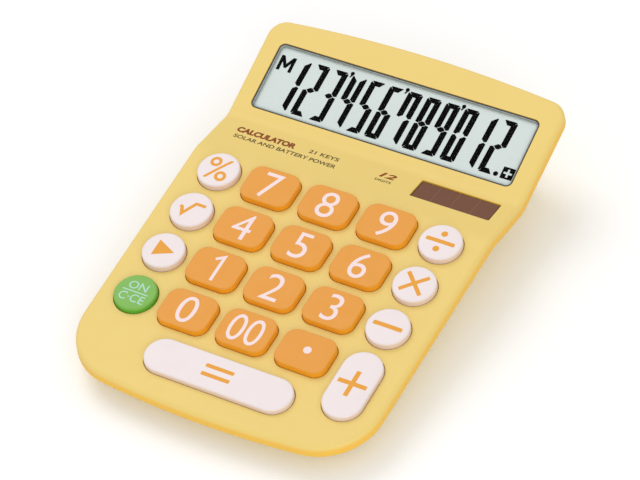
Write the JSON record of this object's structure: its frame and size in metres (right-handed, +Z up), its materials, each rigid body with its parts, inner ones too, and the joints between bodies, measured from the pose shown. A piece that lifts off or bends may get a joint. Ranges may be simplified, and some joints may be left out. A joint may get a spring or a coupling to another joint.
{
  "type": "desk calculator",
  "caption": "Desk calculator with a pale yellow case, rounded orange number keys, white function keys, a green clear key, a raised tilted display and a solar cell.",
  "frame": {"origin": "centre of the footprint on the desk, under the four feet", "axes": "+Z up, +Y from the keypad's front edge towards the display, +X to the right of the person using it"},
  "size_m": [0.13, 0.1818, 0.0404],
  "materials": {
    "case_yellow": "fine satin moulded ABS, pale yellow",
    "key_orange": "satin orange key plastic",
    "key_white": "soft-gloss warm white key plastic",
    "key_green": "soft-gloss green key plastic",
    "lens_clear": "clear polished acrylic",
    "display_glass": "reflective liquid crystal glass, pale grey-green",
    "holder_grey": "moulded grey plastic",
    "ribbon": "amber film ribbon with printed tracks",
    "solar_glass": "dark brown amorphous silicon under glass",
    "board": "green solder mask on fibreglass board",
    "silicone": "translucent white silicone rubber",
    "epoxy": "black potting resin",
    "capacitor_sleeve": "printed blue sleeve",
    "steel": "zinc-plated or stainless steel",
    "contact_metal": "plated spring brass",
    "wire_red": "red insulated wire",
    "wire_black": "black insulated wire",
    "foot_rubber": "dark grey rubber"
  },
  "bodies": {
    "case": {"battery_contact_side": "contact_metal", "battery_contact_top": "contact_metal", "battery_door": "case_yellow", "battery_door_screw": "steel", "battery_lead_black": "wire_black", "battery_lead_red": "wire_red", "board_screw_1": "steel", "board_screw_2": "steel", "board_screw_3": "steel", "board_screw_4": "steel", "bottom_case": "case_yellow", "capacitor": "capacitor_sleeve", "case_screw_front_left": "steel", "case_screw_front_right": "steel", "case_screw_middle_left": "steel", "case_screw_middle_right": "steel", "chip_cover": "epoxy", "circuit_board": "board", "coin_cell": "steel", "display_holder": "holder_grey", "display_lens": "lens_clear", "display_panel": "display_glass", "display_ribbon": "ribbon", "foot_back_left": "foot_rubber", "foot_back_right": "foot_rubber", "foot_front_left": "foot_rubber", "foot_front_right": "foot_rubber", "rubber_key_mat": "silicone", "solar_cell": "solar_glass", "solar_lead_black": "wire_black", "solar_lead_red": "wire_red", "top_case": "case_yellow"},
    "key_7": {"key_7": "key_orange"},
    "key_8": {"key_8": "key_orange"},
    "key_9": {"key_9": "key_orange"},
    "key_4": {"key_4": "key_orange"},
    "key_5": {"key_5": "key_orange"},
    "key_6": {"key_6": "key_orange"},
    "key_1": {"key_1": "key_orange"},
    "key_2": {"key_2": "key_orange"},
    "key_3": {"key_3": "key_orange"},
    "key_0": {"key_0": "key_orange"},
    "key_00": {"key_00": "key_orange"},
    "key_point": {"key_point": "key_orange"},
    "key_percent": {"key_percent": "key_white"},
    "key_root": {"key_root": "key_white"},
    "key_back": {"key_back": "key_white"},
    "key_clear": {"key_clear": "key_green"},
    "key_divide": {"key_divide": "key_white"},
    "key_times": {"key_times": "key_white"},
    "key_minus": {"key_minus": "key_white"},
    "key_plus": {"key_plus": "key_white"},
    "key_equals": {"key_equals": "key_white"}
  },
  "joints": [
    {"name": "press_7", "type": "slide", "parent": "case", "child": "key_7", "axis": [0, 0.1219, -0.9925], "range_m": [0, 0.0018], "stiffness_N_per_m": 300, "springref_m": -0.0008, "deforming": ["rubber_key_mat"]},
    {"name": "press_8", "type": "slide", "parent": "case", "child": "key_8", "axis": [0, 0.1219, -0.9925], "range_m": [0, 0.0018], "stiffness_N_per_m": 300, "springref_m": -0.0008, "deforming": ["rubber_key_mat"]},
    {"name": "press_9", "type": "slide", "parent": "case", "child": "key_9", "axis": [0, 0.1219, -0.9925], "range_m": [0, 0.0018], "stiffness_N_per_m": 300, "springref_m": -0.0008, "deforming": ["rubber_key_mat"]},
    {"name": "press_4", "type": "slide", "parent": "case", "child": "key_4", "axis": [0, 0.1219, -0.9925], "range_m": [0, 0.0018], "stiffness_N_per_m": 300, "springref_m": -0.0008, "deforming": ["rubber_key_mat"]},
    {"name": "press_5", "type": "slide", "parent": "case", "child": "key_5", "axis": [0, 0.1219, -0.9925], "range_m": [0, 0.0018], "stiffness_N_per_m": 300, "springref_m": -0.0008, "deforming": ["rubber_key_mat"]},
    {"name": "press_6", "type": "slide", "parent": "case", "child": "key_6", "axis": [0, 0.1219, -0.9925], "range_m": [0, 0.0018], "stiffness_N_per_m": 300, "springref_m": -0.0008, "deforming": ["rubber_key_mat"]},
    {"name": "press_1", "type": "slide", "parent": "case", "child": "key_1", "axis": [0, 0.1219, -0.9925], "range_m": [0, 0.0018], "stiffness_N_per_m": 300, "springref_m": -0.0008, "deforming": ["rubber_key_mat"]},
    {"name": "press_2", "type": "slide", "parent": "case", "child": "key_2", "axis": [0, 0.1219, -0.9925], "range_m": [0, 0.0018], "stiffness_N_per_m": 300, "springref_m": -0.0008, "deforming": ["rubber_key_mat"]},
    {"name": "press_3", "type": "slide", "parent": "case", "child": "key_3", "axis": [0, 0.1219, -0.9925], "range_m": [0, 0.0018], "stiffness_N_per_m": 300, "springref_m": -0.0008, "deforming": ["rubber_key_mat"]},
    {"name": "press_0", "type": "slide", "parent": "case", "child": "key_0", "axis": [0, 0.1219, -0.9925], "range_m": [0, 0.0018], "stiffness_N_per_m": 300, "springref_m": -0.0008, "deforming": ["rubber_key_mat"]},
    {"name": "press_00", "type": "slide", "parent": "case", "child": "key_00", "axis": [0, 0.1219, -0.9925], "range_m": [0, 0.0018], "stiffness_N_per_m": 300, "springref_m": -0.0008, "deforming": ["rubber_key_mat"]},
    {"name": "press_point", "type": "slide", "parent": "case", "child": "key_point", "axis": [0, 0.1219, -0.9925], "range_m": [0, 0.0018], "stiffness_N_per_m": 300, "springref_m": -0.0008, "deforming": ["rubber_key_mat"]},
    {"name": "press_percent", "type": "slide", "parent": "case", "child": "key_percent", "axis": [0, 0.1219, -0.9925], "range_m": [0, 0.0018], "stiffness_N_per_m": 300, "springref_m": -0.0008, "deforming": ["rubber_key_mat"]},
    {"name": "press_root", "type": "slide", "parent": "case", "child": "key_root", "axis": [0, 0.1219, -0.9925], "range_m": [0, 0.0018], "stiffness_N_per_m": 300, "springref_m": -0.0008, "deforming": ["rubber_key_mat"]},
    {"name": "press_back", "type": "slide", "parent": "case", "child": "key_back", "axis": [0, 0.1219, -0.9925], "range_m": [0, 0.0018], "stiffness_N_per_m": 300, "springref_m": -0.0008, "deforming": ["rubber_key_mat"]},
    {"name": "press_clear", "type": "slide", "parent": "case", "child": "key_clear", "axis": [0, 0.1219, -0.9925], "range_m": [0, 0.0018], "stiffness_N_per_m": 300, "springref_m": -0.0008, "deforming": ["rubber_key_mat"]},
    {"name": "press_divide", "type": "slide", "parent": "case", "child": "key_divide", "axis": [0, 0.1219, -0.9925], "range_m": [0, 0.0018], "stiffness_N_per_m": 300, "springref_m": -0.0008, "deforming": ["rubber_key_mat"]},
    {"name": "press_times", "type": "slide", "parent": "case", "child": "key_times", "axis": [0, 0.1219, -0.9925], "range_m": [0, 0.0018], "stiffness_N_per_m": 300, "springref_m": -0.0008, "deforming": ["rubber_key_mat"]},
    {"name": "press_minus", "type": "slide", "parent": "case", "child": "key_minus", "axis": [0, 0.1219, -0.9925], "range_m": [0, 0.0018], "stiffness_N_per_m": 300, "springref_m": -0.0008, "deforming": ["rubber_key_mat"]},
    {"name": "press_plus", "type": "slide", "parent": "case", "child": "key_plus", "axis": [0, 0.1219, -0.9925], "range_m": [0, 0.0018], "stiffness_N_per_m": 300, "springref_m": -0.0008, "deforming": ["rubber_key_mat"]},
    {"name": "press_equals", "type": "slide", "parent": "case", "child": "key_equals", "axis": [0, 0.1219, -0.9925], "range_m": [0, 0.0018], "stiffness_N_per_m": 300, "springref_m": -0.0008, "deforming": ["rubber_key_mat"]}
  ]
}
